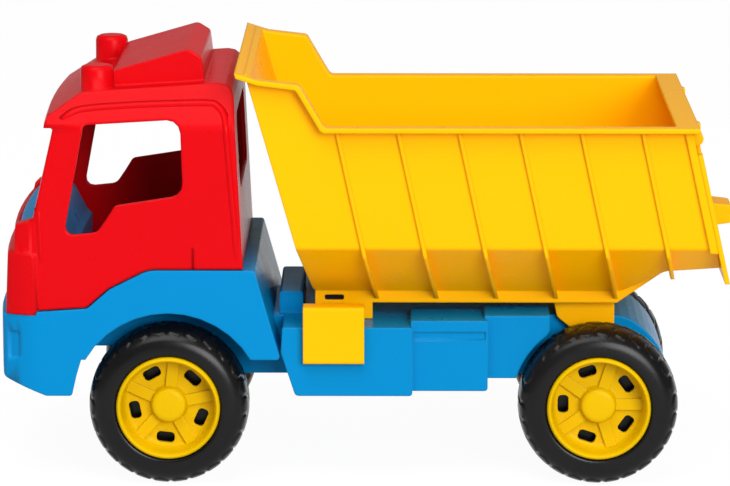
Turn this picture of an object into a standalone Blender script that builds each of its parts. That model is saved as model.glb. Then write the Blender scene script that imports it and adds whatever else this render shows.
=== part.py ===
# Toy dump truck: a tipping sandbox truck built as separate moulded pieces on two rolling axles.
# The front points to -X, the side seen in the photo faces -Y, and the wheels stand on z = 0.
# Sizes are in millimetres here and become metres when a mesh is made.
import bmesh
import bpy
import numpy as np
from mathutils import Matrix, Vector

MM = 0.001
GAP = 0.3
WALL = 2.5

# Whole truck and its running gear
LENGTH = 463.0
FRONT_OVERHANG = 107.5
WHEELBASE = 268.0
TYRE_RADIUS = 50.0
TYRE_WIDTH = 40.0
TRACK_HALF = 94.0
TREAD_LUGS = 26
TREAD_DEPTH = 1.8
RIM_RADIUS = 33.0
DISH_DEPTH = 16.0
WEB_PLACE = 24.0
WEB_THICKNESS = 4.0
FRONT_WHEEL_TURN = 42.5
REAR_WHEEL_TURN = 54.0
HUB_RADIUS = 10.0
SLOT_COUNT = 5
SLOT_CIRCLE = 21.8
SLOT_LENGTH = 11.4
SLOT_HEIGHT = 6.8
SPOKE_WIDTH = 5.5
AXLE_RADIUS = 3.0
ROD_RADIUS = 2.4

# Chassis
BODY_HALF = 90.0
FRONT_BOW = 4.5
SHELF_HEIGHT = 108.0
FLOOR_HEIGHT = 136.4
BUMPER_BOTTOM = 57.0
WING_BOTTOM = 80.0
ARCH_CLEARANCE = 9.5
SPINE_HALF = 46.0
SPINE_BOTTOM = 62.0
DECK_HEIGHT = 99.7
LOCKER_BASE = 56.3
BOX_HALF = 86.0

# Cab
CAB_HALF = 89.0
COWL_HEIGHT = 164.0
VISOR_HEIGHT = 225.5
ROOF_HEIGHT = 246.5
ROOF_RISE = 6.0
LAMP_RADIUS = 10.5
LAMP_TOP = 262.0
LAMP_SPACING = 132.0
DEFLECTOR_TOP = 271.0
DEFLECTOR_HALF = 62.0

# Tub and tailgate
RIM_HALF = 113.0
RIM_HEIGHT = 229.6
HOOD_RISE = 33.8
TUB_HALF = 105.0
TUB_FLOOR = 118.0
CHAMFER_TOP = 153.0
SKIRT_HALF = 59.5
SKIRT_BOTTOM = 110.4
TAIL_RUN = 27.0
TAIL_RISE = 17.0
TAIL_SLOPE = 0.086
RIB_COUNT = 6
RIB_PITCH = 37.4
RIB_LEAN = 0.2165
RIB_THICKNESS = 2.4
PIVOT_HEIGHT = 93.0
LEG_THICKNESS = 4.5
GATE_THICKNESS = 3.0
GATE_BOTTOM = 132.0
GATE_LEAN = 0.2222
GATE_ROLL = 4.3

FRONT_AXLE = FRONT_OVERHANG - LENGTH / 2
REAR_AXLE = FRONT_AXLE + WHEELBASE
AXLE_HEIGHT = TYRE_RADIUS
TAIL_CENTRE = (REAR_AXLE - 3, AXLE_HEIGHT + 4)
TAIL_RADIUS = TYRE_RADIUS - 4
SLEEVE_RADIUS = AXLE_RADIUS + 4
ARCH_RADIUS = TYRE_RADIUS + ARCH_CLEARANCE
TYRE_INNER = TRACK_HALF - TYRE_WIDTH
PIVOT_X = REAR_AXLE + 2.0
HINGE_HEIGHT = RIM_HEIGHT - 8.1
HINGE_X = REAR_AXLE + 57.6
LEG_OUTER = TYRE_INNER - 2.3
LEG_INNER = LEG_OUTER - LEG_THICKNESS
FOOT_BOTTOM = DECK_HEIGHT + GAP
HOOD_HEIGHT = RIM_HEIGHT + HOOD_RISE


def collection(name, shown):
    made = bpy.data.collections.new(name)
    bpy.context.scene.collection.children.link(made)
    made.hide_render = not shown
    return made


def clear_scene():
    for old in list(bpy.data.objects):
        bpy.data.objects.remove(old)


clear_scene()
PARTS = collection("toy_dump_truck", True)
HELPERS = collection("cutters", False)


def material(name, colour, roughness, metallic=0.0):
    made = bpy.data.materials.new(name)
    made.use_nodes = True
    shader = made.node_tree.nodes["Principled BSDF"]
    shader.inputs["Base Color"].default_value = (*colour, 1.0)
    shader.inputs["Roughness"].default_value = roughness
    shader.inputs["Metallic"].default_value = metallic
    return made


BLUE = (0.0, 0.27, 0.68)
RED = (0.80, 0.012, 0.02)
YELLOW = (1.0, 0.60, 0.0)
BLACK = (0.018, 0.017, 0.018)
STEEL = (0.62, 0.62, 0.60)


def finish_mesh(shape, name):
    bmesh.ops.remove_doubles(shape, verts=shape.verts, dist=0.00001)
    bmesh.ops.recalc_face_normals(shape, faces=shape.faces)
    mesh = bpy.data.meshes.new(name)
    shape.to_mesh(mesh)
    shape.free()
    made = bpy.data.objects.new(name, mesh)
    HELPERS.objects.link(made)
    made.hide_render = True
    made.display_type = "WIRE"
    return made


def as_part(made, colour, roughness, metallic=0.0):
    HELPERS.objects.unlink(made)
    PARTS.objects.link(made)
    made.hide_render = False
    made.display_type = "TEXTURED"
    made.data.materials.append(material(made.name, colour, roughness, metallic))
    return made


def arc(centre, radius, start, end, steps):
    angles = np.radians(np.linspace(start, end, steps + 1))
    return [(centre[0] + radius * np.cos(a), centre[1] + radius * np.sin(a)) for a in angles]


def rounded(points, steps=3):
    """Turn (u, v) and (u, v, radius) corners into an outline, with arcs where a radius is given."""
    outline = []
    for here in range(len(points)):
        corner = Vector(points[here][:2])
        if len(points[here]) == 2:
            outline.append(tuple(corner))
            continue
        before = (Vector(points[here - 1][:2]) - corner).normalized()
        after = (Vector(points[(here + 1) % len(points)][:2]) - corner).normalized()
        half = before.angle(after) / 2
        reach = points[here][2] / np.tan(half)
        centre = corner + (before + after).normalized() * (points[here][2] / np.sin(half))
        first = corner + before * reach - centre
        sweep = first.angle_signed(corner + after * reach - centre)
        for k in range(steps + 1):
            outline.append(tuple(centre + Matrix.Rotation(-sweep * k / steps, 2) @ first))
    return outline


PLACE = {
    "X": lambda u, v, w: Vector((w, u, v)) * MM,
    "Y": lambda u, v, w: Vector((u, w, v)) * MM,
    "Z": lambda u, v, w: Vector((u, v, w)) * MM,
}


def prism(name, outline, start, end, axis="Y", steps=1):
    """Extrude a flat outline from one place on an axis to another."""
    shape = bmesh.new()
    face = shape.faces.new([shape.verts.new(PLACE[axis](u, v, start)) for u, v in outline])
    stride = PLACE[axis](0, 0, (end - start) / steps)
    for number in range(steps):
        made = bmesh.ops.extrude_face_region(shape, geom=[face])["geom"]
        if number:
            bmesh.ops.delete(shape, geom=[face], context="FACES_ONLY")
        face = next(part for part in made if isinstance(part, bmesh.types.BMFace))
        bmesh.ops.translate(shape, vec=stride, verts=face.verts)
    return finish_mesh(shape, name)


def mirrored_prisms(name, outline, near, far):
    return [prism(f"{name}_{side:+d}", outline, *sorted((side * near, side * far))) for side in (-1, 1)]


def rod(name, radius, centre, start, end, steps=16):
    """A round bar along Y."""
    return prism(name, arc(centre, radius, 0, 360 - 360 / steps, steps - 1), start, end)


def turned(name, profile, axis, centre, steps):
    """Turn a profile of (radius, place along the axis) points, closed or with its ends on the axis."""
    shape = bmesh.new()
    verts = [shape.verts.new(PLACE[axis](radius, 0, along)) for radius, along in profile]
    edges = [shape.edges.new(pair) for pair in zip(verts, verts[1:])]
    turn = {"Y": Vector((0, 1, 0)), "Z": Vector((0, 0, 1))}[axis]
    bmesh.ops.spin(
        shape, geom=verts + edges, cent=(0, 0, 0), axis=turn, angle=2 * np.pi, steps=steps,
        use_merge=True,
    )
    bmesh.ops.translate(shape, vec=Vector(centre) * MM, verts=shape.verts)
    return finish_mesh(shape, name)


def boolean(target, other, operation):
    step = target.modifiers.new(other.name, "BOOLEAN")
    step.operation = operation
    step.solver = "EXACT"
    step.object = other
    return target


def cut(target, *others):
    for other in others:
        boolean(target, other, "DIFFERENCE")
    return target


def fuse(target, *others):
    for other in others:
        boolean(target, other, "UNION")
    return target


def keep(target, other):
    return boolean(target, other, "INTERSECT")


def bow(made):
    """Curve the front forward in plan: full at the bumper's face, none from the front axle on."""
    for vert in made.data.vertices:
        share = max(0.0, (FRONT_AXLE * MM - vert.co.x) / ((FRONT_OVERHANG - FRONT_BOW) * MM))
        across = vert.co.y / (BODY_HALF * MM)
        vert.co.x -= FRONT_BOW * MM * share * max(0.0, 1 - across * across)
    return made


def shade_round(made, degrees=35):
    made.data.shade_smooth()
    made.data.set_sharp_from_angle(angle=np.radians(degrees))


def from_front(points):
    return [(FRONT_AXLE + point[0], *point[1:]) for point in points]


def from_rear(points):
    return [(REAR_AXLE + point[0], *point[1:]) for point in points]


# The line on which the cab sits on the chassis, from the front to the rear of the cab
SEAM = from_front(
    [
        (-82.0, SHELF_HEIGHT),
        (-81.0, SHELF_HEIGHT + 2.2),
        (-50.0, SHELF_HEIGHT + 4.2, 5),
        (-36.0, FLOOR_HEIGHT - 12, 12),
        (-12.0, FLOOR_HEIGHT, 20),
    ]
)


def bowed_slab(name, points, half):
    return bow(prism(name, rounded(points), -half, half, steps=8))


def chassis():
    nose = FRONT_BOW - FRONT_OVERHANG
    front = from_front([(nose, 68, 4), (nose, SHELF_HEIGHT, 1)])
    rear = from_front([(54, FLOOR_HEIGHT, 2), (70, WING_BOTTOM, 2), (-54, WING_BOTTOM), (-57, 70)])
    chin = from_front([(-60, BUMPER_BOTTOM, 2), (-76, BUMPER_BOTTOM, 4)])
    body = bowed_slab("chassis", front + SEAM + rear + chin, BODY_HALF)
    inside = from_front([(nose + WALL, 40), (nose + WALL, SHELF_HEIGHT - WALL)])
    inside += [(point[0] + 0.6, point[1] - WALL, *point[2:]) for point in SEAM]
    inside += from_front([(54 - 1.8, FLOOR_HEIGHT - WALL), (70 - 2.7, WING_BOTTOM), (78, 40)])
    cut(body, bowed_slab("body_hollow", inside, BODY_HALF - WALL))
    back = from_front([
        (-62.6, 57.6), (-59.6, 70), (-56.7, 82), (-54.1, 82), (-57.1, 70), (-60.1, 57.6),
    ])
    fuse(body, bowed_slab("bumper_back", back, BODY_HALF - 1))

    hump = arc(TAIL_CENTRE, TAIL_RADIUS, 90, 0, 12)
    spine = from_front([
        (-28, SPINE_BOTTOM), (-28, DECK_HEIGHT - 1), (60, DECK_HEIGHT),
    ]) + [(REAR_AXLE - 6, DECK_HEIGHT)]
    spine += hump + [(
        TAIL_CENTRE[0] + TAIL_RADIUS, AXLE_HEIGHT - 6,
    )] + from_rear([(16, AXLE_HEIGHT - 6), (6, SPINE_BOTTOM)])
    fuse(body, prism("spine", rounded(spine), -SPINE_HALF, SPINE_HALF))
    rest = from_front([
        (68, DECK_HEIGHT - 8), (68, DECK_HEIGHT + 13.8, 2), (83, DECK_HEIGHT + 13.8, 2),
        (83, DECK_HEIGHT - 8),
    ])
    fuse(body, prism("rest", rounded(rest), 6 - SPINE_HALF, SPINE_HALF - 6))
    side_boxes(body)
    hump = arc(TAIL_CENTRE, TAIL_RADIUS - WALL, 90, 0, 12)
    hollow = from_front([
        (-28 + WALL, 30), (-28 + WALL, DECK_HEIGHT - 1 - WALL), (60, DECK_HEIGHT - WALL),
    ])
    hollow += [(REAR_AXLE - 6, DECK_HEIGHT - WALL)] + hump + [(TAIL_CENTRE[0] + TAIL_RADIUS - WALL, 30)]
    cut(body, prism("spine_hollow", hollow, WALL - SPINE_HALF, SPINE_HALF - WALL))

    chord = np.degrees(np.arcsin((WING_BOTTOM + 0.5 - AXLE_HEIGHT) / (ARCH_RADIUS + WALL)))
    liner = arc((FRONT_AXLE, AXLE_HEIGHT), ARCH_RADIUS + WALL, chord, 180 - chord, 20)
    fuse(body, *mirrored_prisms("liner", liner, SPINE_HALF - 1, BODY_HALF - 1))
    well = arc((FRONT_AXLE, AXLE_HEIGHT), ARCH_RADIUS, 0, 350, 35)
    cut(body, *mirrored_prisms("well", well, TYRE_INNER - 3, BODY_HALF + 5))
    for place in (FRONT_AXLE, REAR_AXLE):
        block = [(place - 12, 72), (place - 10, 41, 5), (place + 10, 41, 5), (place + 12, 72)]
        fuse(body, *mirrored_prisms(f"bearing_{place:.0f}", rounded(block), SPINE_HALF - 8, SPINE_HALF))
        bearing = rod(
            f"bore_{place:.0f}", AXLE_RADIUS + GAP, (place, AXLE_HEIGHT), -TRACK_HALF, TRACK_HALF,
        )
        cut(body, bearing)
    pivot = rod(
        "pivot_bore", ROD_RADIUS + 0.1, (PIVOT_X, PIVOT_HEIGHT), -SPINE_HALF - 9, SPINE_HALF + 9,
    )
    cut(body, pivot)
    lamp = from_front([(-99, 81, 1.5), (-99, 97.5, 1.5), (-92, 97.5, 1.5), (-92, 81, 1.5)])
    cut(body, *mirrored_prisms("lamp_recess", rounded(lamp), BODY_HALF - 1.2, BODY_HALF + 5))
    for name, x, y, height in screw_places():
        cut(body, prism(f"{name}_bore", arc((x, y), 1.9, 0, 324, 9), height - 8, height + 1, "Z"))
    return as_part(body, BLUE, 0.25)


def side_boxes(body):
    tall = from_front([
        (71, DECK_HEIGHT, 1), (70, 84, 4), (79, LOCKER_BASE, 3), (152, LOCKER_BASE, 2),
        (152, DECK_HEIGHT),
    ])
    tank = from_front([
        (151, DECK_HEIGHT + 3.6), (151, LOCKER_BASE + 2.4), (199, LOCKER_BASE + 2.4, 2),
        (199, DECK_HEIGHT + 3.6),
    ])
    curve = arc((REAR_AXLE, AXLE_HEIGHT), TYRE_RADIUS + 3.5, 163, 127, 6)
    guard = [(FRONT_AXLE + 197, DECK_HEIGHT + 5.7), (FRONT_AXLE + 197, curve[0][1])] + curve
    guard += [(REAR_AXLE - 30.5, DECK_HEIGHT - 4), (REAR_AXLE - 30.5, DECK_HEIGHT + 5.7)]
    for name, outline, outer in (
        ("tall", tall, BOX_HALF), ("tank", tank, BOX_HALF - 4), ("guard", guard, BOX_HALF - 10),
    ):
        fuse(body, *mirrored_prisms(name, rounded(outline), SPINE_HALF - 1, outer))
        xs = [point[0] for point in outline]
        top = max(point[1] for point in outline) - WALL
        lip = max(xs) - (14 if name == "guard" else WALL)
        room = [(min(xs) + 4.5, 30), (min(xs) + 4.5, top), (lip, top), (lip, 30)]
        cut(body, *mirrored_prisms(f"{name}_room", room, SPINE_HALF + WALL, outer - WALL))
    groove = from_front([(152.6, 91.2), (152.6, 96.2), (197.5, 96.2), (197.5, 91.2)])
    cut(body, *mirrored_prisms("groove", groove, BOX_HALF - 5.1, BOX_HALF))


def cab_outline(inset):
    return from_front(
        [
            (-97.5 + inset, 90),
            (-94 + inset, COWL_HEIGHT - inset, 2),
            (-83 + inset, COWL_HEIGHT + 3 - inset, 3),
            (-69.5 + inset, VISOR_HEIGHT, 1.5),
            (-75.5 + inset * 1.5, VISOR_HEIGHT + inset * 0.2, 0.4),
            (-73 + inset, VISOR_HEIGHT + 7, 3),
            (-52 + inset * 0.5, ROOF_HEIGHT - inset, 12),
            (41 - inset, ROOF_HEIGHT + ROOF_RISE - inset, 9 - inset),
            (49 - inset, 90),
        ]
    )


def cab_section(inset):
    half = CAB_HALF - inset
    right = [(half, 85), (half - 1, VISOR_HEIGHT, 10), (half - 25, ROOF_HEIGHT + 27)]
    return right + [(-point[0], *point[1:]) for point in reversed(right)]


def cab_shell():
    cab = bowed_slab("cab_shell", cab_outline(0), CAB_HALF + 2)
    keep(cab, prism("cab_limits", rounded(cab_section(0)), FRONT_AXLE - 130, FRONT_AXLE + 70, "X"))
    block = from_front([
        (-101.5, 90), (-99, SHELF_HEIGHT + 38.5, 3), (-82.5, SHELF_HEIGHT + 38.5, 2), (-80, 90),
    ])
    fuse(cab, bowed_slab("corner_block", block, CAB_HALF + 1.5))
    room = bowed_slab("cab_room", cab_outline(WALL), CAB_HALF + 2)
    keep(room, prism("room_limits", rounded(cab_section(WALL)), FRONT_AXLE - 130, FRONT_AXLE + 70, "X"))
    cut(cab, room)
    for name, x, y, height in screw_places():
        reach = (-10, 5) if x < FRONT_AXLE else (-5, 5.8)
        lug = [
            (x + reach[0], y - 5), (x + reach[1], y - 5), (x + reach[1], y + 5),
            (x + reach[0], y + 5),
        ]
        fuse(cab, prism(f"{name}_lug", lug, height - 4, height + 12, "Z"))
        cut(cab, prism(f"{name}_pilot", arc((x, y), 1.6, 0, 324, 9), height - 6, height + 10, "Z"))
    below = [(FRONT_AXLE - 125, 60), (FRONT_AXLE - 125, SHELF_HEIGHT + GAP)]
    below += [(point[0] - 0.1, point[1] + GAP, *point[2:]) for point in SEAM]
    below += from_front([(80, FLOOR_HEIGHT + GAP), (80, 60)])
    cut(cab, bowed_slab("seam_cut", below, CAB_HALF + 8))
    cab_windows(cab)
    lamps = [
        (0, LAMP_TOP), (LAMP_RADIUS - 3, LAMP_TOP), (LAMP_RADIUS - 0.8, LAMP_TOP - 1),
        (LAMP_RADIUS, LAMP_TOP - 3.5),
    ]
    lamps += [(LAMP_RADIUS, ROOF_HEIGHT - 2.5), (0, ROOF_HEIGHT - 2.5)]
    for side in (-1, 1):
        spot = (FRONT_AXLE - 43.5, side * LAMP_SPACING / 2, 0)
        fuse(cab, turned(f"roof_lamp_{side:+d}", lamps, "Z", spot, 16))
    wedge = [
        (-36, ROOF_HEIGHT - 0.5), (-34, ROOF_HEIGHT + 11, 4), (13, DEFLECTOR_TOP, 5),
        (21, DEFLECTOR_TOP - 5, 3),
    ]
    wedge = from_front(wedge + [(23, ROOF_HEIGHT + 3)])
    fuse(cab, prism("deflector", rounded(wedge), -DEFLECTOR_HALF, DEFLECTOR_HALF))
    return as_part(cab, RED, 0.22)


def cab_windows(cab):
    side = [
        (-51, 227.3, 3), (8.5, 230.6, 8), (10, 183.5, 8), (-32, 177, 4), (-37, 169, 4),
        (-43, 160.2, 6), (-64, 158, 5),
    ]
    cut(cab, prism("side_window", rounded(from_front(side)), -CAB_HALF - 8, CAB_HALF + 8))
    screen = [(-CAB_HALF + 14, COWL_HEIGHT - 4, 7), (CAB_HALF - 14, COWL_HEIGHT - 4, 7)]
    screen += [(CAB_HALF - 17, VISOR_HEIGHT - 4, 6), (-CAB_HALF + 17, VISOR_HEIGHT - 4, 6)]
    cut(cab, prism("windscreen", rounded(screen), FRONT_AXLE - 120, FRONT_AXLE - 50, "X"))
    back = [(-58, 182, 8), (58, 182, 8), (58, 230, 8), (-58, 230, 8)]
    cut(cab, prism("rear_window", rounded(back), FRONT_AXLE + 25, FRONT_AXLE + 70, "X"))
    for side in (-1, 1):
        line = from_front([
            (15.2, FLOOR_HEIGHT - 3), (15.2, FLOOR_HEIGHT + 14), (16.4, FLOOR_HEIGHT + 14),
            (16.4, FLOOR_HEIGHT - 3),
        ])
        cut(
            cab,
            prism(
                f"door_line_{side:+d}", line,
                *sorted((side * (CAB_HALF - 0.9), side * (CAB_HALF + 5))),
            ),
        )


def screw_places():
    """Name, x, y and height of the chassis top at each cab screw."""
    places = []
    for end, x, height in (
        ("front", FRONT_AXLE - 92, SHELF_HEIGHT), ("rear", FRONT_AXLE + 40, FLOOR_HEIGHT),
    ):
        places.append((f"cab_screw_{end}_left", x, -36.0, height))
        places.append((f"cab_screw_{end}_right", x, 36.0, height))
    return places


def cab_screws():
    for name, x, y, height in screw_places():
        head = height - WALL - GAP
        profile = [
            (0, head - 2), (2.6, head - 2), (3.2, head - 1.2), (3.2, head), (1.3, head),
            (1.3, height + 8), (0, height + 9),
        ]
        screw = as_part(turned(name, profile, "Z", (x, y, 0), 10), STEEL, 0.35, 1.0)
        shade_round(screw)


def dashboard():
    base = SHELF_HEIGHT + 4.2 + 2 * GAP
    step = SHELF_HEIGHT + 15.0
    top = COWL_HEIGHT - 1
    outer = [(-83, base), (-83, step), (-90.8, step + 2), (-90.8, top, 2), (-69, top + 0.5, 4)]
    outer += [(-60, 146, 3), (-57, 143), (-57, base)]
    inner = [(-83 + WALL, base - 5), (-83 + WALL, step + WALL), (-90.8 + WALL, step + 2 + WALL)]
    inner += [(-90.8 + WALL, top - WALL), (-70, top - WALL), (-62.5, 145)]
    inner += [(-57 - WALL, 141), (-57 - WALL, base - 5)]
    half = CAB_HALF - 18
    dash = bowed_slab("dashboard", from_front(outer), half)
    cut(dash, bowed_slab("dash_hollow", from_front(inner), half - WALL))
    return as_part(dash, BLUE, 0.25)


def tub():
    rear_top = HINGE_X - FRONT_AXLE - 3.4

    def gate_run(z):
        return rear_top + (RIM_HEIGHT - z) * GATE_LEAN

    kick = REAR_AXLE - FRONT_AXLE + 14
    tail_low = TUB_FLOOR + TAIL_RISE
    outline = [
        (49, HOOD_HEIGHT - 1), (57, HOOD_HEIGHT - 5), (82, HOOD_HEIGHT - 8, 3),
        (97, RIM_HEIGHT - 0.5, 4),
    ]
    outline += [
        (gate_run(RIM_HEIGHT - 0.5), RIM_HEIGHT - 0.5), (gate_run(tail_low + 3), tail_low + 3),
    ]
    outline += [(kick + TAIL_RUN, tail_low, 8), (kick, TUB_FLOOR, 14), (90, TUB_FLOOR, 4)]
    shell = prism("tub", rounded(from_front(outline)), -TUB_HALF - 5, TUB_HALF + 5)
    keep(shell, prism("tub_limits", rounded(tub_section(0)), FRONT_AXLE, REAR_AXLE + 120, "X"))
    slope = (90 - 49) / (HOOD_HEIGHT - 1 - TUB_FLOOR)
    room = [
        (92.7 - slope * 180, TUB_FLOOR + WALL + 180), (92.7, TUB_FLOOR + WALL, 5),
        (kick - 0.7, TUB_FLOOR + WALL, 14),
    ]
    room += [
        (kick + TAIL_RUN - 0.7, tail_low + WALL, 8),
        (kick + 118, tail_low + WALL + 91 * TAIL_SLOPE),
    ]
    room += [(kick + 118, TUB_FLOOR + WALL + 180)]
    room = prism("tub_room", rounded(from_front(room)), -TUB_HALF - 5, TUB_HALF + 5)
    keep(
        room,
        prism("tub_room_limits", rounded(tub_section(WALL)), FRONT_AXLE - 60, REAR_AXLE + 150, "X"),
    )
    cut(shell, room)
    tub_rim(shell)
    tub_skirts(shell, kick)
    tub_ribs(shell)
    under = [
        (kick - 2, SKIRT_BOTTOM), (kick + TAIL_RUN, SKIRT_BOTTOM + 20),
        (kick + 80, SKIRT_BOTTOM + 20 + 53 * TAIL_SLOPE), (kick + 80, 60), (kick - 2, 60),
    ]
    cut(shell, prism("under_tail", from_front(under), -RIM_HALF - 5, RIM_HALF + 5))
    edge = [
        (gate_run(RIM_HEIGHT - 1) - 5, RIM_HEIGHT - 1), (gate_run(RIM_HEIGHT - 1), RIM_HEIGHT - 1),
        (gate_run(CHAMFER_TOP - 2), CHAMFER_TOP - 2), (gate_run(CHAMFER_TOP - 2) - 5, CHAMFER_TOP - 2),
    ]
    fuse(shell, *mirrored_prisms("rear_edge", from_front(edge), TUB_HALF - 1.8, TUB_HALF + 2))
    tub_legs(shell)
    return as_part(shell, YELLOW, 0.25)


def tub_section(inset):
    right = [
        (TUB_HALF + 1 - inset, HOOD_HEIGHT + 60),
        (TUB_HALF - 1 - inset, CHAMFER_TOP + inset * 0.35, 3),
    ]
    right += [
        (SKIRT_HALF - inset * 0.75, TUB_FLOOR + inset),
        (SKIRT_HALF - inset * 0.75, TUB_FLOOR - 8 + inset * 4),
    ]
    return right + [(-point[0], *point[1:]) for point in reversed(right)]


def tub_rim(shell):
    rear = HINGE_X - FRONT_AXLE + 1.4
    top = [
        (43, HOOD_HEIGHT), (57, HOOD_HEIGHT - 4.4), (82.5, HOOD_HEIGHT - 7.4, 3),
        (98, RIM_HEIGHT, 4), (rear, RIM_HEIGHT),
    ]
    low = [
        (rear, RIM_HEIGHT - 3), (96, RIM_HEIGHT - 3, 4), (80.5, HOOD_HEIGHT - 10.4, 3),
        (57, HOOD_HEIGHT - 7.4), (44, HOOD_HEIGHT - 3.2),
    ]
    fuse(shell, *mirrored_prisms("rim", rounded(from_front(top + low)), TUB_HALF - 1.6, RIM_HALF))
    front = [
        (43, HOOD_HEIGHT), (51.3, HOOD_HEIGHT - 2.6), (51.3, HOOD_HEIGHT - 5.6),
        (44, HOOD_HEIGHT - 3.2),
    ]
    fuse(shell, prism("hood_lip", from_front(front), -RIM_HALF + 1, RIM_HALF - 1))
    bar = [
        (rear - 14, RIM_HEIGHT), (rear, RIM_HEIGHT), (rear, RIM_HEIGHT - 3),
        (rear - 14, RIM_HEIGHT - 3),
    ]
    fuse(shell, prism("rear_bar", from_front(bar), -RIM_HALF + 1, RIM_HALF - 1))
    lug = [(HINGE_X - GATE_ROLL, RIM_HEIGHT - 1.5)] + arc(
        (HINGE_X, HINGE_HEIGHT), GATE_ROLL, 180, 360, 10,
    )
    lug += [(HINGE_X + GATE_ROLL, RIM_HEIGHT - 3.4), (HINGE_X + 1, RIM_HEIGHT - 1.5)]
    fuse(shell, *mirrored_prisms("gate_lug", lug, 66, 74))
    cut(shell, rod("gate_rod_bore", ROD_RADIUS - 0.3, (HINGE_X, HINGE_HEIGHT), -90, 90))


def tub_skirts(shell, kick):
    plate = [
        (127, SKIRT_BOTTOM), (kick + TAIL_RUN, SKIRT_BOTTOM),
        (kick + TAIL_RUN, TUB_FLOOR + TAIL_RISE + 1.2),
    ]
    plate += [(kick, TUB_FLOOR + 1.2), (91, TUB_FLOOR + 1.2)]
    plate += [(91, FOOT_BOTTOM + 6, 2), (93, FOOT_BOTTOM, 1), (127, FOOT_BOTTOM, 1)]
    fuse(shell, *mirrored_prisms("skirt", rounded(from_front(plate)), SKIRT_HALF - WALL, SKIRT_HALF))
    slot = [(97, 112, 1), (97, 115.4, 1), (109, 115.4, 1), (109, 112, 1)]
    cut(
        shell,
        *mirrored_prisms("skirt_slot", rounded(from_front(slot)), SKIRT_HALF - 5, SKIRT_HALF + 5),
    )
    brace = [(123, FOOT_BOTTOM), (123, TUB_FLOOR + 1), (127, TUB_FLOOR + 1), (127, FOOT_BOTTOM)]
    fuse(shell, prism("foot_brace", from_front(brace), 1 - SKIRT_HALF, SKIRT_HALF - 1))


def tub_ribs(shell):
    top = RIM_HEIGHT - 2
    outline = [
        (TUB_HALF - 1.4, top), (TUB_HALF + 2, top), (TUB_HALF + 1, CHAMFER_TOP - 5, 3),
        (TUB_HALF - 9, CHAMFER_TOP - 15, 4),
    ]
    outline += [
        (SKIRT_HALF + 1.2, SKIRT_BOTTOM + 3), (SKIRT_HALF - 1, SKIRT_BOTTOM + 3),
        (SKIRT_HALF - 1, TUB_FLOOR + 1.3),
    ]
    outline += [(TUB_HALF - 2.2, CHAMFER_TOP + 1)]
    for number in range(RIB_COUNT):
        for side in (-1, 1):
            place = FRONT_AXLE + 104 + number * RIB_PITCH
            points = [(side * point[0], *point[1:]) for point in outline]
            rib = prism(f"rib_{number}_{side:+d}", rounded(points), place, place + RIB_THICKNESS, "X")
            for vert in rib.data.vertices:
                vert.co.x += (top * MM - vert.co.z) * RIB_LEAN
            fuse(shell, rib)


def tub_legs(shell):
    leg = [
        (-29, TUB_FLOOR + 1.2), (-25, PIVOT_HEIGHT + 7, 6), (-6, PIVOT_HEIGHT - 9, 9),
        (11, PIVOT_HEIGHT - 9, 8), (11, TUB_FLOOR + 1.2),
    ]
    fuse(shell, *mirrored_prisms("leg", rounded(from_rear(leg)), LEG_INNER, LEG_OUTER))
    cut(
        shell,
        rod("leg_bore", ROD_RADIUS + GAP, (PIVOT_X, PIVOT_HEIGHT), -TYRE_INNER - 5, TYRE_INNER + 5),
    )


def tailgate():
    def drop(z):
        return HINGE_X + (HINGE_HEIGHT - z) * GATE_LEAN

    half = GATE_THICKNESS / 2
    top = HINGE_HEIGHT - 9
    sheet = [(drop(top) - half, top), (drop(top) + half, top), (drop(GATE_BOTTOM) + half, GATE_BOTTOM)]
    gate = prism(
        "tailgate", sheet + [(drop(GATE_BOTTOM) - half, GATE_BOTTOM)], -TUB_HALF - 2, TUB_HALF + 2,
    )
    neck = half - 0.2
    strap = [
        (drop(top - 3) - neck, top - 3), (drop(top + 7) - neck, top + 7),
        (drop(top + 7) + neck, top + 7),
    ]
    fuse(
        gate,
        prism("gate_neck", strap + [(drop(top - 3) + neck, top - 3)], -TUB_HALF + 5, TUB_HALF - 5),
    )
    fuse(gate, rod("gate_roll", GATE_ROLL, (HINGE_X, HINGE_HEIGHT), -TUB_HALF + 4.5, TUB_HALF - 4.5))
    knob = [(drop(166), 166), (LENGTH / 2, 164, 2.5), (LENGTH / 2, 153, 2.5), (drop(151), 151)]
    fuse(gate, prism("gate_knob", rounded(knob), -13, 13))
    lug_space = arc((HINGE_X, HINGE_HEIGHT), GATE_ROLL + 0.9, 0, 340, 17)
    cut(gate, *mirrored_prisms("gate_lug_space", lug_space, 65.4, 74.6))
    cut(
        gate,
        rod("gate_bore", ROD_RADIUS + GAP - 0.4, (HINGE_X, HINGE_HEIGHT), 7 - TUB_HALF, TUB_HALF - 7),
    )
    return as_part(gate, YELLOW, 0.25)


def side_lockers():
    outer = BOX_HALF + 6
    outline = [(outer, 77.7, 1.5), (outer, DECK_HEIGHT + 14, 2), (outer - 14, DECK_HEIGHT + 14, 1)]
    outline += [
        (outer - 14, DECK_HEIGHT + GAP), (BOX_HALF + GAP, DECK_HEIGHT + GAP),
        (BOX_HALF + GAP, 77.7),
    ]
    for name, side in (("left", -1), ("right", 1)):
        points = [(side * point[0], *point[1:]) for point in outline]
        locker = prism(f"side_locker_{name}", rounded(points), FRONT_AXLE + 84, FRONT_AXLE + 122, "X")
        as_part(locker, YELLOW, 0.25)


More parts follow.
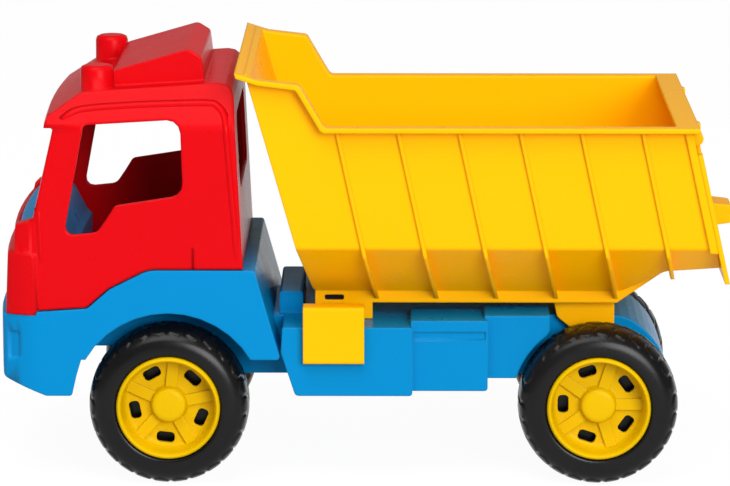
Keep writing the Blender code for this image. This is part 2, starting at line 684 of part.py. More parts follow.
def tyre(name, place, side):
    face = side * TRACK_HALF
    step = -side * TYRE_WIDTH
    outer = TYRE_RADIUS - TREAD_DEPTH
    profile = [
        (RIM_RADIUS, 0.04), (RIM_RADIUS + 3, 0.0), (RIM_RADIUS + 9, 0.02), (outer - 2, 0.13),
        (outer, 0.16), (outer, 0.5),
    ]
    ring = profile + [(radius, 1 - share) for radius, share in reversed(profile[:-1])]
    near = WEB_PLACE / TYRE_WIDTH
    far = near + WEB_THICKNESS / TYRE_WIDTH
    bore = SLEEVE_RADIUS + GAP
    ring += [(RIM_RADIUS, far), (bore, far), (bore, near), (RIM_RADIUS, near), ring[0]]
    made = turned(
        name, [(radius, share * step) for radius, share in ring], "Y", (0, face, 0), 2 * TREAD_LUGS,
    )
    for vert in made.data.vertices:
        raise_lug(vert, face, step)
        vert.co.x += place * MM
        vert.co.z += AXLE_HEIGHT * MM
    as_part(made, BLACK, 0.55)
    shade_round(made)


def raise_lug(vert, face, step):
    """Lift the tread in lugs, staggered between the outer and the inner row."""
    radius = np.hypot(vert.co.x, vert.co.z)
    if radius < (TYRE_RADIUS - TREAD_DEPTH - 0.1) * MM:
        return
    share = (vert.co.y / MM - face) / step
    turn = np.arctan2(vert.co.z, vert.co.x) / (2 * np.pi) * TREAD_LUGS
    shift = 0.0 if share < 0.4 else 0.5
    middle = 0.4 < share < 0.6
    if middle or (turn + shift + 0.125) % 1.0 < 0.55:
        grow = TYRE_RADIUS * MM / radius if not middle else (
            TYRE_RADIUS - TREAD_DEPTH / 2
        ) * MM / radius
        vert.co.x *= grow
        vert.co.z *= grow


def wheel_disc(name, place, side, first_slot):
    face = side * (TRACK_HALF + 1.5)
    outer = RIM_RADIUS - GAP
    hub = DISH_DEPTH - 6.5
    barrel = WEB_PLACE + 1.5 - GAP
    sleeve = TYRE_WIDTH - 5
    profile = [(0, hub), (HUB_RADIUS - 1.5, hub), (HUB_RADIUS, hub + 1.2), (HUB_RADIUS, DISH_DEPTH)]
    profile += [
        (RIM_RADIUS - 6.5, DISH_DEPTH), (RIM_RADIUS - 5, 2), (RIM_RADIUS - 3.8, 0),
        (RIM_RADIUS - 1.6, 0), (outer, 2),
    ]
    profile += [
        (outer, barrel), (outer - WALL, barrel), (outer - WALL, DISH_DEPTH + 3),
        (SLEEVE_RADIUS, DISH_DEPTH + 3),
    ]
    profile += [
        (SLEEVE_RADIUS, sleeve), (AXLE_RADIUS + 0.1, sleeve), (AXLE_RADIUS + 0.1, hub + 3),
        (0, hub + 3),
    ]
    disc = turned(
        name, [(radius, -side * along) for radius, along in profile], "Y",
        (place, face, AXLE_HEIGHT), 26,
    )
    for number in range(SLOT_COUNT):
        turn = Matrix.Rotation(np.radians(number * 360 / SLOT_COUNT + first_slot), 4, "Y")
        lower = SLOT_CIRCLE - SLOT_HEIGHT / 2
        upper = SLOT_CIRCLE + SLOT_HEIGHT / 2
        reach = SLOT_LENGTH / 2
        slot = rounded(
            [(-reach, lower, 2.5), (reach, lower, 2.5), (reach, upper, 2.5), (-reach, upper, 2.5)],
            2,
        )
        bar = [
            (-SPOKE_WIDTH / 2, HUB_RADIUS - 2), (SPOKE_WIDTH / 2, HUB_RADIUS - 2),
            (SPOKE_WIDTH / 2, RIM_RADIUS - 5.2),
        ]
        bar.append((-SPOKE_WIDTH / 2, RIM_RADIUS - 5.2))
        ends = sorted((face - side * (DISH_DEPTH - 4), face - side * (DISH_DEPTH + 8)))
        hole = prism(f"{name}_slot_{number}", slot, *ends)
        ends = sorted((face - side * (DISH_DEPTH - 2.5), face - side * (DISH_DEPTH + 1)))
        spoke = prism(f"{name}_spoke_{number}", bar, *ends)
        for made, angle in ((hole, turn), (spoke, turn @ Matrix.Rotation(np.pi / SLOT_COUNT, 4, "Y"))):
            made.data.transform(Matrix.Translation(Vector((place, 0, AXLE_HEIGHT)) * MM) @ angle)
        cut(disc, hole)
        fuse(disc, spoke)
    as_part(disc, YELLOW, 0.25)
    shade_round(disc)


def running_gear():
    for end, place, turn in (
        ("front", FRONT_AXLE, FRONT_WHEEL_TURN), ("rear", REAR_AXLE, REAR_WHEEL_TURN),
    ):
        reach = TRACK_HALF + 1.5 - DISH_DEPTH + 6.5 - 3 - GAP
        axle = rod(f"{end}_axle", AXLE_RADIUS - 0.1, (place, AXLE_HEIGHT), -reach, reach)
        shade_round(as_part(axle, STEEL, 0.3, 1.0))
        for hand, side in (("left", -1), ("right", 1)):
            tyre(f"tyre_{end}_{hand}", place, side)
            wheel_disc(f"wheel_disc_{end}_{hand}", place, side, turn)


def hinge_rods():
    reach = TYRE_INNER - 1.2
    pivot = rod("tub_hinge_rod", ROD_RADIUS - 0.1, (PIVOT_X, PIVOT_HEIGHT), -reach, reach)
    shade_round(as_part(pivot, STEEL, 0.3, 1.0))
    gate = rod(
        "tailgate_hinge_rod", ROD_RADIUS - 0.5, (HINGE_X, HINGE_HEIGHT), 7.6 - TUB_HALF,
        TUB_HALF - 7.6,
    )
    shade_round(as_part(gate, STEEL, 0.3, 1.0))


chassis()
cab_shell()
cab_screws()
dashboard()
tub()
tailgate()
side_lockers()
running_gear()
hinge_rods()
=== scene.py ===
# %% [markdown]
# # A toy dump truck, dressed for its portrait
# The truck's solids come in as a fixed frame: every moulded piece, rod and wheel already stands
# where the engineer put it. This lesson gives them their looks. Small pieces only get a finish, the
# large shells are shown as cleaner and softer copies, and tyres and wheels are rebuilt with many
# more, much rounder faces. Sizes typed in millimetres are divided by `PER_METRE`.

# %% Load the frame
import math

import bmesh
import bpy
from mathutils import Matrix, Vector
from mathutils.bvhtree import BVHTree


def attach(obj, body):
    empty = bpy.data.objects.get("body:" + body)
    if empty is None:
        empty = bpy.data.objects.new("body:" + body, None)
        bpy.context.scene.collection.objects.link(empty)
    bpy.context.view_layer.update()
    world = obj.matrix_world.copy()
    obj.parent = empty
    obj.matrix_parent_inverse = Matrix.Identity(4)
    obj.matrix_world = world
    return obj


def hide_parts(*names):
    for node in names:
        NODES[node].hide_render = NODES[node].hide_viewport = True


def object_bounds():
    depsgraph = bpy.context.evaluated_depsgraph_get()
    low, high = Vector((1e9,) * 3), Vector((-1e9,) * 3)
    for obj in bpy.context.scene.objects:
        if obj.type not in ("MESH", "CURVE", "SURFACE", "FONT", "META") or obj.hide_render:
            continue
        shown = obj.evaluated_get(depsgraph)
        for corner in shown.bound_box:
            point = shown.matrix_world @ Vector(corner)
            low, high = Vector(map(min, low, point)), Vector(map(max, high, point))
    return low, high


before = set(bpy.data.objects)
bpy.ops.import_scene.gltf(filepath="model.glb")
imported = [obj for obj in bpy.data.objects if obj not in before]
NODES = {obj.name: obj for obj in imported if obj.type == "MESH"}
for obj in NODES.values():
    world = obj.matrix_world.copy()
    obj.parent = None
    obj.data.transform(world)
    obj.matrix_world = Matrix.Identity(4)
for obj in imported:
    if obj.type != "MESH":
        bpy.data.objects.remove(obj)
CAD_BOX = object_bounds()
PER_METRE = 1000
WELD = 1e-6
SIDES = (("left", -1), ("right", 1))
print("frame:", len(NODES), "nodes, size", [round(v, 4) for v in CAD_BOX[1] - CAD_BOX[0]])

# %% [markdown]
# ## Writing shader maths as sums
# A material is a small machine of nodes. Wiring it by hand is slow to read, so one class holds a
# socket and lets Python's own signs add the Math nodes: `1 - mask` or `grain * 0.1` just works.
# Every other kind of node comes from the single method `add`.

# %% A socket that knows arithmetic
class Wire:
    def __init__(self, tree, socket=None):
        self.tree = tree
        self.socket = socket

    def add(self, kind, settings, inputs, output=0):
        node = self.tree.nodes.new(kind)
        for name, value in settings.items():
            if name == "stops":
                for stop, (position, colour) in zip(node.color_ramp.elements, value):
                    stop.position = position
                    stop.color = colour
            else:
                setattr(node, name, value)
        for name, value in inputs.items():
            if isinstance(value, Wire):
                self.tree.links.new(value.socket, node.inputs[name])
            else:
                node.inputs[name].default_value = value
        return Wire(self.tree, node.outputs[output])

    def maths(self, operation, *values):
        return self.add("ShaderNodeMath", {"operation": operation}, dict(enumerate(values)))

    def __add__(self, other):
        return self.maths("ADD", self, other)

    __radd__ = __add__

    def __sub__(self, other):
        return self.maths("SUBTRACT", self, other)

    def __rsub__(self, other):
        return self.maths("SUBTRACT", other, self)

    def __mul__(self, other):
        return self.maths("MULTIPLY", self, other)

    __rmul__ = __mul__


def linear(red, green, blue):
    """A colour as a picture editor writes it, 0 to 255, as the linear light Blender works in."""
    shares = [value / 255 for value in (red, green, blue)]
    light = [v / 12.92 if v <= 0.04045 else ((v + 0.055) / 1.055) ** 2.4 for v in shares]
    return (*light, 1.0)


print("linear yellow:", [round(v, 3) for v in linear(253, 192, 6)])

# %% [markdown]
# ## Small helpers for materials
# Every material starts as an empty tree and ends in an output node. Noise gives soft patches, and a
# Mix node in colour mode blends two colours. That node holds sockets for numbers, vectors and
# colours side by side, so its colour sockets are picked by their places in the row.

# %% Start, end, noise and blend
MIX_FIRST = 6
MIX_SECOND = 7
MIX_COLOUR = 2


def start_material(name):
    made = bpy.data.materials.new(name)
    made.use_nodes = True
    made.node_tree.nodes.clear()
    return made, Wire(made.node_tree)


def end_material(made, shader):
    tree = made.node_tree
    output = tree.nodes.new("ShaderNodeOutputMaterial")
    tree.links.new(shader.socket, output.inputs["Surface"])
    return made


def noise(wire, place, scale, detail=3.0, roughness=0.5):
    inputs = {"Vector": place, "Scale": scale, "Detail": detail, "Roughness": roughness}
    return wire.add("ShaderNodeTexNoise", {}, inputs)


def blended(wire, factor, first, second):
    inputs = {"Factor": factor, MIX_FIRST: first, MIX_SECOND: second}
    return wire.add("ShaderNodeMix", {"data_type": "RGBA"}, inputs, MIX_COLOUR)


print("helpers:", start_material.__name__, end_material.__name__, noise.__name__, blended.__name__)

# %% [markdown]
# ## Moulded plastic
# The body is injection-moulded plastic: an even colour, a soft gloss, and a surface that is never
# quite flat. Three things make it read as plastic rather than paint. A fine ripple, like the skin
# of an orange, breaks up the reflections. The gloss changes a little from place to place where
# hands have rubbed it. And no moulded edge is sharp, so a Bevel node rounds the light at each edge;
# the same node finds the edges, which are a shade paler where they have been knocked in play.

# %% Plastic finish
EDGE_GAIN = 3.0
DEEP_SHARE = 0.35
WORN_SHARE = 0.35
RIPPLE_HEIGHT = 0.4
WAVE_HEIGHT = 2.0
RUB_ROUGHNESS = 0.14
EDGE_ROUGHNESS = 0.05
PLASTIC_ROUGHNESS = 0.22


def plastic(name, colour, deep, worn, radius):
    made, wire = start_material(name)
    place = wire.add("ShaderNodeTexCoord", {}, {}, "Object")
    cloud = noise(wire, place, scale=14.0)
    ripple = noise(wire, place, scale=190.0, detail=1.0)
    rub = noise(wire, place, scale=46.0, detail=5.0, roughness=0.62)
    rounded = wire.add("ShaderNodeBevel", {"samples": 8}, {"Radius": radius})
    facing = wire.add("ShaderNodeNewGeometry", {}, {}, "True Normal")
    product = {"operation": "DOT_PRODUCT"}
    along = wire.add("ShaderNodeVectorMath", product, {0: rounded, 1: facing}, "Value")
    edge = wire.maths("MINIMUM", (1 - along) * EDGE_GAIN, 1.0)
    shade = blended(wire, cloud * DEEP_SHARE, colour, deep)
    shade = blended(wire, edge * rub * WORN_SHARE, shade, worn)
    bump = wire.add("ShaderNodeBump", {}, {
        "Strength": 0.12,
        "Distance": 0.0002,
        "Height": ripple * RIPPLE_HEIGHT + cloud * WAVE_HEIGHT,
        "Normal": rounded,
    })
    shader = wire.add("ShaderNodeBsdfPrincipled", {}, {
        "Base Color": shade,
        "Roughness": rub * RUB_ROUGHNESS + edge * EDGE_ROUGHNESS + PLASTIC_ROUGHNESS,
        "Specular IOR Level": 0.07,
        "IOR": 1.49,
        "Normal": bump,
    })
    return end_material(made, shader)


RED = plastic(
    "red_moulded_plastic", linear(206, 4, 14), linear(196, 2, 9), linear(218, 40, 44), radius=0.0026,
)
BLUE = plastic(
    "blue_moulded_plastic", linear(0, 129, 189), linear(0, 119, 180), linear(60, 155, 206), radius=0.0017,
)
YELLOW = plastic(
    "yellow_moulded_plastic", linear(250, 179, 1), linear(247, 172, 0), linear(250, 194, 40), radius=0.0017,
)
# The wheel discs get their own copy of the yellow, less orange than the body's. This is painted light: it
# stands in for the light that the recessed dish does not get.
DISC_YELLOW_PAINTED_LIGHT = plastic(
    "disc_yellow_painted_light", linear(215, 174, 1), linear(210, 166, 0), linear(222, 190, 40), radius=0.001,
)
print("plastics:", RED.name, BLUE.name, YELLOW.name, DISC_YELLOW_PAINTED_LIGHT.name)

# %% [markdown]
# ## Tyre plastic and steel
# Toy tyres are blown from soft black plastic, not vulcanised rubber. They are dark but not black,
# with a satin skin and patches of grey dust. The axles and hinge rods are drawn steel wire, so
# their grain runs along the rod.

# %% Tyre and steel finishes
DUST_STOPS = [(0.42, (0, 0, 0, 1)), (0.80, (1, 1, 1, 1))]
DUST_ROUGHNESS = 0.14
TYRE_ROUGHNESS = 0.2
GRAIN_STRETCH = (4000.0, 60.0, 4000.0)
GRAIN_SHARE = 0.6
GRAIN_ROUGHNESS = 0.2
STEEL_ROUGHNESS = 0.22


def tyre_plastic(name):
    made, wire = start_material(name)
    place = wire.add("ShaderNodeTexCoord", {}, {}, "Object")
    dust = noise(wire, place, scale=30.0, detail=6.0, roughness=0.6)
    skin = noise(wire, place, scale=1500.0, detail=2.0)
    rounded = wire.add("ShaderNodeBevel", {"samples": 6}, {"Radius": 0.0006})
    patch = wire.add("ShaderNodeValToRGB", {"stops": DUST_STOPS}, {"Fac": dust})
    shade = blended(wire, patch, linear(11, 11, 12), linear(17, 16, 16))
    bump = wire.add("ShaderNodeBump", {}, {
        "Strength": 0.25,
        "Distance": 0.0001,
        "Height": skin,
        "Normal": rounded,
    })
    shader = wire.add("ShaderNodeBsdfPrincipled", {}, {
        "Base Color": shade,
        "Roughness": dust * DUST_ROUGHNESS + TYRE_ROUGHNESS,
        "Specular IOR Level": 0.22,
        "IOR": 1.5,
        "Normal": bump,
    })
    return end_material(made, shader)


def drawn_steel(name):
    made, wire = start_material(name)
    place = wire.add("ShaderNodeTexCoord", {}, {}, "Object")
    stretch = wire.add("ShaderNodeMapping", {}, {"Vector": place, "Scale": GRAIN_STRETCH})
    grain = noise(wire, stretch, scale=1.0)
    shade = blended(wire, grain * GRAIN_SHARE, linear(190, 190, 188), linear(150, 150, 150))
    bump = wire.add("ShaderNodeBump", {}, {"Strength": 0.15, "Distance": 0.00005, "Height": grain})
    shader = wire.add("ShaderNodeBsdfPrincipled", {}, {
        "Base Color": shade,
        "Roughness": grain * GRAIN_ROUGHNESS + STEEL_ROUGHNESS,
        "Metallic": 1.0,
        "Normal": bump,
    })
    return end_material(made, shader)


BLACK = tyre_plastic("black_tyre_plastic")
STEEL = drawn_steel("drawn_steel")
print("finishes:", BLACK.name, STEEL.name)

# %% [markdown]
# ## Painting the solids
# The small solids are already the right shape, so they only change their material. The list says
# which of them are moulded in blue or yellow and which are made of steel.

# %% Assign the finishes
SCREWS = [name for name in NODES if name.startswith("cab_screw")]
PAINT = (
    (BLUE, ["dashboard"]),
    (YELLOW, ["side_locker_left", "side_locker_right"]),
    (STEEL, ["front_axle", "rear_axle", "tub_hinge_rod", "tailgate_hinge_rod"] + SCREWS),
)
for finish, names in PAINT:
    for name in names:
        slots = NODES[name].data.materials
        slots.clear()
        slots.append(finish)
print("painted:", sum(len(names) for finish, names in PAINT), "solids")

# %% [markdown]
# ## One pitch, many times
# A tyre repeats the same lug all the way round, and a wheel the same spoke. Geometry Nodes do the
# repeating: the tree takes one pitch modelled round the Y axis, turns copies of it, welds the seams
# and gives the ring its material.

# %% A tree for rings
RING_WELD = 1e-5
RING_INPUTS = (
    ("Pitch", "NodeSocketGeometry"),
    ("Copies", "NodeSocketInt"),
    ("Finish", "NodeSocketMaterial"),
)
RING_NODES = (
    "NodeGroupInput", "GeometryNodePoints", "GeometryNodeInputIndex", "GeometryNodeInstanceOnPoints",
    "GeometryNodeRealizeInstances", "GeometryNodeMergeByDistance", "GeometryNodeSetMaterial",
    "ShaderNodeCombineXYZ", "NodeGroupOutput",
)


def ring_tree():
    tree = bpy.data.node_groups.new("ring_of_copies", "GeometryNodeTree")
    for name, kind in RING_INPUTS:
        tree.interface.new_socket(name, in_out="INPUT", socket_type=kind)
    tree.interface.new_socket("Ring", in_out="OUTPUT", socket_type="NodeSocketGeometry")
    made = {}
    for kind in RING_NODES:
        made[kind.replace("GeometryNode", "").replace("ShaderNode", "")] = tree.nodes.new(kind)
    share = tree.nodes.new("ShaderNodeMath")
    share.operation = "DIVIDE"
    angle = tree.nodes.new("ShaderNodeMath")
    angle.operation = "MULTIPLY"
    angle.inputs[1].default_value = 2 * math.pi
    made["MergeByDistance"].inputs["Distance"].default_value = RING_WELD
    link = tree.links.new
    link(made["NodeGroupInput"].outputs["Copies"], made["Points"].inputs["Count"])
    link(made["InputIndex"].outputs["Index"], share.inputs[0])
    link(made["NodeGroupInput"].outputs["Copies"], share.inputs[1])
    link(share.outputs[0], angle.inputs[0])
    link(angle.outputs[0], made["CombineXYZ"].inputs["Y"])
    link(made["Points"].outputs[0], made["InstanceOnPoints"].inputs["Points"])
    link(made["NodeGroupInput"].outputs["Pitch"], made["InstanceOnPoints"].inputs["Instance"])
    link(made["CombineXYZ"].outputs[0], made["InstanceOnPoints"].inputs["Rotation"])
    link(made["InstanceOnPoints"].outputs[0], made["RealizeInstances"].inputs[0])
    link(made["RealizeInstances"].outputs[0], made["MergeByDistance"].inputs["Geometry"])
    link(made["MergeByDistance"].outputs[0], made["SetMaterial"].inputs["Geometry"])
    link(made["NodeGroupInput"].outputs["Finish"], made["SetMaterial"].inputs["Material"])
    link(made["SetMaterial"].outputs[0], made["NodeGroupOutput"].inputs["Ring"])
    return tree


RING = ring_tree()
print("ring tree:", len(RING.nodes), "nodes")

# %% [markdown]
# ## From a drawn shape to a plain mesh
# A few short tools are used from here on. One turns a drawing into a mesh, one joins rows of points
# into a skin, and one puts a mesh in the scene. A ring's modifier is turned into plain faces at
# once, because an export drops the copies that only a modifier shows.

# %% Mesh tools
def mesh_from(shape, name):
    mesh = bpy.data.meshes.new(name)
    shape.to_mesh(mesh)
    shape.free()
    return mesh


def skin_rows(shape, rows):
    for first, second in zip(rows, rows[1:]):
        for number in range(len(first)):
            following = (number + 1) % len(first)
            shape.faces.new((first[number], first[following], second[following], second[number]))


def new_object(name, mesh):
    made = bpy.data.objects.new(name, mesh)
    bpy.context.scene.collection.objects.link(made)
    return made


def settled(made):
    """Turn what the modifiers show into the object's own plain mesh."""
    shown = made.evaluated_get(bpy.context.evaluated_depsgraph_get())
    mesh = bpy.data.meshes.new_from_object(shown)
    made.modifiers.clear()
    made.data = mesh
    return made


def ring_of(name, mesh, copies, finish):
    made = new_object(name, mesh)
    ring = made.modifiers.new("ring", "NODES")
    ring.node_group = RING
    values = {"Copies": copies, "Finish": finish}
    for item in RING.interface.items_tree:
        if item.name in values:
            ring[item.identifier] = values[item.name]
    return settled(made)


print("tools:", mesh_from.__name__, skin_rows.__name__, new_object.__name__, ring_of.__name__)

# %% [markdown]
# ## The tyre's rule
# Seen in section the tyre is a fat letter D: a smooth sidewall that rolls over a round shoulder on
# to the tread. Twenty-six shallow lugs stand on each half of the tread, the inner row half a pitch
# behind the outer, with slanted ends that make the scalloped edge along the shoulder. The rule
# gives the height of the tread for any place on it.

# %% Height of a lug
LUG_HEIGHT = 0.75
TYRE_SPAN = 40.0
SLANT = 0.16
SLANT_FROM = 2
SLANT_LENGTH = 17
SLANT_TURNS = 1.5
GROOVE = (0.04, 0.16)
MIDDLE_GROOVE = (0.8, 2.2)
SHOULDER = 3.6
SHOULDER_WAVE = 0.9
SHOULDER_RISE = 1.6


def soft_step(value, low, high):
    share = min(1.0, max(0.0, (value - low) / (high - low)))
    return share * share * (3 - 2 * share)


def lug_height(turn, along):
    """Height of the tread at a share of the pitch and a place across the tyre, in millimetres."""
    inner = along > TYRE_SPAN / 2
    across = TYRE_SPAN - along if inner else along
    slant = SLANT * math.sin((across - SLANT_FROM) / SLANT_LENGTH * math.pi * SLANT_TURNS)
    behind = 0.5 if inner else 0.0
    middle = (turn + slant + behind) % 1.0
    side = soft_step(0.5 - abs(middle - 0.5), *GROOVE)
    edge = SHOULDER + SHOULDER_WAVE * math.cos(2 * math.pi * middle)
    outer = soft_step(across, edge, edge + SHOULDER_RISE)
    centre = soft_step(TYRE_SPAN / 2 - across, *MIDDLE_GROOVE)
    return LUG_HEIGHT * side * outer * centre


print("lug height in the middle of a lug:", round(lug_height(0.5, TYRE_SPAN / 4), 2), "mm")

# %% [markdown]
# ## One pitch of tyre
# One pitch is a grid of points: across it runs the section, along it the angle, and each point is
# lifted square to the section by the height of the lug there. A flat web inside carries the tyre
# on its wheel.

# %% One pitch of the tyre
LUGS = 26
TYRE_RADIUS = 50.0
TREAD_RADIUS = TYRE_RADIUS - LUG_HEIGHT
PITCH_STEPS = 24
SECTION_STEPS = 4
SECTION = [
    (32.6, 1.6), (33.3, 0.5), (34.9, 0.0), (37.4, 0.1), (40.2, 0.5), (43.0, 1.5), (45.4, 3.2), (47.2, 5.6),
    (48.45, 8.8), (49.05, 13.0), (TREAD_RADIUS, 17.0),
]
WEB = [(33.0, 28.0), (7.4, 28.0), (7.4, 24.0), (33.0, 24.0)]


def curve_value(p, q, r, s, t):
    """A value on the smooth line from q to r, bent by the neighbours p and s."""
    straight = 2 * q + (r - p) * t
    squared = (2 * p - 5 * q + 4 * r - s) * t * t
    cubed = (3 * q - p - 3 * r + s) * t ** 3
    return 0.5 * (straight + squared + cubed)


def smooth_curve(points, steps):
    """Points along a smooth line through the given ones."""
    padded = [points[0]] + list(points) + [points[-1]]
    found = []
    for group in zip(padded, padded[1:], padded[2:], padded[3:]):
        for number in range(steps):
            found.append(tuple(curve_value(*values, number / steps) for values in zip(*group)))
    return found + [tuple(points[-1])]


def tyre_pitch():
    half = smooth_curve(SECTION, SECTION_STEPS)
    mirrored = [(radius, TYRE_SPAN - along) for radius, along in reversed(half)]
    section = half + [(TREAD_RADIUS, TYRE_SPAN / 2)] + mirrored
    rows = []
    shape = bmesh.new()
    for step in range(PITCH_STEPS + 1):
        turn = step / PITCH_STEPS
        angle = turn * 2 * math.pi / LUGS
        row = []
        for number, (radius, along) in enumerate(section + WEB):
            lift = 0.0
            out = (1.0, 0.0)
            if 0 < number < len(section) - 1:
                before, after = section[number - 1], section[number + 1]
                out = Vector((after[1] - before[1], before[0] - after[0])).normalized()
                lift = lug_height(turn, along)
            reach = (radius + out[0] * lift) / PER_METRE
            depth = (along + out[1] * lift) / PER_METRE
            row.append(shape.verts.new((math.sin(angle) * reach, depth, math.cos(angle) * reach)))
        rows.append(row)
    skin_rows(shape, rows)
    bmesh.ops.recalc_face_normals(shape, faces=shape.faces)
    return mesh_from(shape, "tyre_pitch")


PITCH = tyre_pitch()
print("one pitch of tyre:", len(PITCH.vertices), "points")

# %% [markdown]
# ## Placing the wheels
# A wheel is modelled once, lying on the Y axis with its outer face at zero. Each finished copy is
# turned to face outwards and carried to its axle inside its mesh, so that the object itself stays at
# the origin like the solids do. The turn is a true rotation, so no face is left inside out.

# %% Tyres on both axles
AXLES = {"front": (-0.124, 42.5), "rear": (0.144, 54.0)}
AXLE_HEIGHT = 0.05
TYRE_FACE = 0.094
TYRE_CREASE = 50


def smooth_faces(mesh, crease):
    mesh.shade_smooth()
    mesh.set_sharp_from_angle(angle=math.radians(crease))


def outward(side, face, x, spin):
    """Carries a wheel part from the Y axis to its axle, its outer face towards the given side."""
    turned = Matrix.Rotation(math.radians(spin), 4, "Y")
    if side > 0:
        turned = Matrix.Rotation(math.pi, 4, "Z") @ turned
    return Matrix.Translation((x, side * face, AXLE_HEIGHT)) @ turned


def closed_outwards(mesh):
    shape = bmesh.new()
    shape.from_mesh(mesh)
    bmesh.ops.remove_doubles(shape, verts=shape.verts, dist=WELD)
    bmesh.ops.recalc_face_normals(shape, faces=shape.faces)
    if shape.calc_volume(signed=True) < 0:
        bmesh.ops.reverse_faces(shape, faces=shape.faces)
    shape.to_mesh(mesh)
    shape.free()


for end, (x, spin) in AXLES.items():
    for hand, side in SIDES:
        tyre = ring_of(f"blown_tyre_{end}_{hand}", PITCH.copy(), LUGS, BLACK)
        tyre.data.transform(outward(side, TYRE_FACE, x, spin))
        closed_outwards(tyre.data)
        smooth_faces(tyre.data, TYRE_CREASE)
        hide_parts(f"tyre_{end}_{hand}")
        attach(tyre, f"{end}_wheels")
print("tyre faces:", len(tyre.data.polygons))

# %% [markdown]
# ## Shapes for the wheel disc
# The yellow wheel needs three drawn shapes: a section that is turned round the axle with many
# steps, so the rim reads as a true circle, and two plates, one for a bar and one for a slot with
# rounded corners.

# %% Turned and flat shapes
def turned_mesh(name, section, steps):
    shape = bmesh.new()
    verts = [shape.verts.new((0, along / PER_METRE, radius / PER_METRE)) for radius, along in section]
    edges = [shape.edges.new(pair) for pair in zip(verts, verts[1:])]
    bmesh.ops.spin(
        shape, geom=verts + edges, cent=(0, 0, 0), axis=(0, 1, 0), angle=2 * math.pi, steps=steps,
        use_merge=True,
    )
    bmesh.ops.remove_doubles(shape, verts=shape.verts, dist=WELD)
    bmesh.ops.recalc_face_normals(shape, faces=shape.faces)
    return mesh_from(shape, name)


def slab_mesh(name, outline, low, high):
    """A plate from (across, out) points in millimetres, between two places along the axle."""
    shape = bmesh.new()
    corners = [shape.verts.new((u / PER_METRE, low / PER_METRE, v / PER_METRE)) for u, v in outline]
    base = shape.faces.new(corners)
    raised = bmesh.ops.extrude_face_region(shape, geom=[base])["geom"]
    points = [item for item in raised if isinstance(item, bmesh.types.BMVert)]
    bmesh.ops.translate(shape, verts=points, vec=(0, (high - low) / PER_METRE, 0))
    bmesh.ops.recalc_face_normals(shape, faces=shape.faces)
    return mesh_from(shape, name)


def rounded_box(half_width, low, high, radius, steps=5):
    found = []
    for u, v, start in ((1, high, 0), (-1, high, 90), (-1, low, 180), (1, low, 270)):
        centre = (u * (half_width - radius), v - radius if v == high else v + radius)
        for step in range(steps + 1):
            angle = math.radians(start + 90 * step / steps)
            found.append((centre[0] + radius * math.cos(angle), centre[1] + radius * math.sin(angle)))
    return found


SLOT_OUTLINE = rounded_box(half_width=5.7, low=18.4, high=25.2, radius=2.5)
print("points round a slot:", len(SLOT_OUTLINE))

# %% [markdown]
# ## The wheel disc
# The wheel is a dished disc with a rolled rim. Five raised bars run from the boss to the rim, and
# five rounded slots are cut through the dish between them. Bars and slots are both rings of one
# drawn shape, joined to the disc or taken from it by Boolean modifiers.

# %% Turn, cut and join the disc
DISC_FACE = 0.0955
DISC_STEPS = 96
DISC_CREASE = 35
SPOKES = 5
SPOKE_OUTLINE = [(-3.6, 8.0), (3.6, 8.0), (3.6, 28.4), (-3.6, 28.4)]
SPOKE_DEPTHS = (14.0, 17.0)
SLOT_DEPTHS = (10.0, 24.0)
DISC = [
    (0.0, 8.4), (7.4, 8.5), (9.3, 8.8), (10.4, 9.6), (10.9, 10.9), (11.4, 14.6), (12.3, 15.7), (13.8, 16.0),
    (24.8, 16.0), (26.6, 15.5), (27.8, 14.2), (28.7, 8.0), (29.2, 2.6), (29.7, 0.8), (30.4, 0.05),
    (31.1, 0.1), (31.9, 0.8), (32.3, 2.0), (32.3, 25.0), (30.2, 25.0), (30.2, 19.0), (7.0, 19.0),
    (7.0, 34.8), (3.1, 34.8), (3.1, 12.6), (0.0, 12.6),
]


def combined(made, tool, operation):
    joint = made.modifiers.new("joint", "BOOLEAN")
    joint.operation = operation
    joint.object = tool
    joint.solver = "EXACT"
    settled(made)
    bpy.data.objects.remove(tool)


def wheel_disc():
    made = new_object("disc", turned_mesh("disc", DISC, DISC_STEPS))
    # The disc takes the yellow copy with painted light, which makes up for the shade in the dish.
    made.data.materials.append(DISC_YELLOW_PAINTED_LIGHT)
    spoke = slab_mesh("spoke", SPOKE_OUTLINE, *SPOKE_DEPTHS)
    spoke.transform(Matrix.Rotation(math.pi / SPOKES, 4, "Y"))
    combined(made, ring_of("spokes", spoke, SPOKES, DISC_YELLOW_PAINTED_LIGHT), "UNION")
    slot = slab_mesh("slot", SLOT_OUTLINE, *SLOT_DEPTHS)
    combined(made, ring_of("slots", slot, SPOKES, DISC_YELLOW_PAINTED_LIGHT), "DIFFERENCE")
    mesh = made.data
    bpy.data.objects.remove(made)
    return mesh


DISC_MESH = wheel_disc()
for end, (x, spin) in AXLES.items():
    for hand, side in SIDES:
        disc = new_object(f"dished_wheel_{end}_{hand}", DISC_MESH.copy())
        disc.data.transform(outward(side, DISC_FACE, x, spin))
        closed_outwards(disc.data)
        smooth_faces(disc.data, DISC_CREASE)
        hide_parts(f"wheel_disc_{end}_{hand}")
        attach(disc, f"{end}_wheels")
print("disc faces:", len(DISC_MESH.polygons))

# %% [markdown]
# ## Rules for softer corners
# Seen from above, the cab and the bumper turn in towards the front, and the blue tail is nearly as
# round as the tyres beside it. Each rule takes a point and says where it goes. A copy is sliced
# across where it bends, and every point is moved by the same rules, so the red and the blue
# moulding still fit.

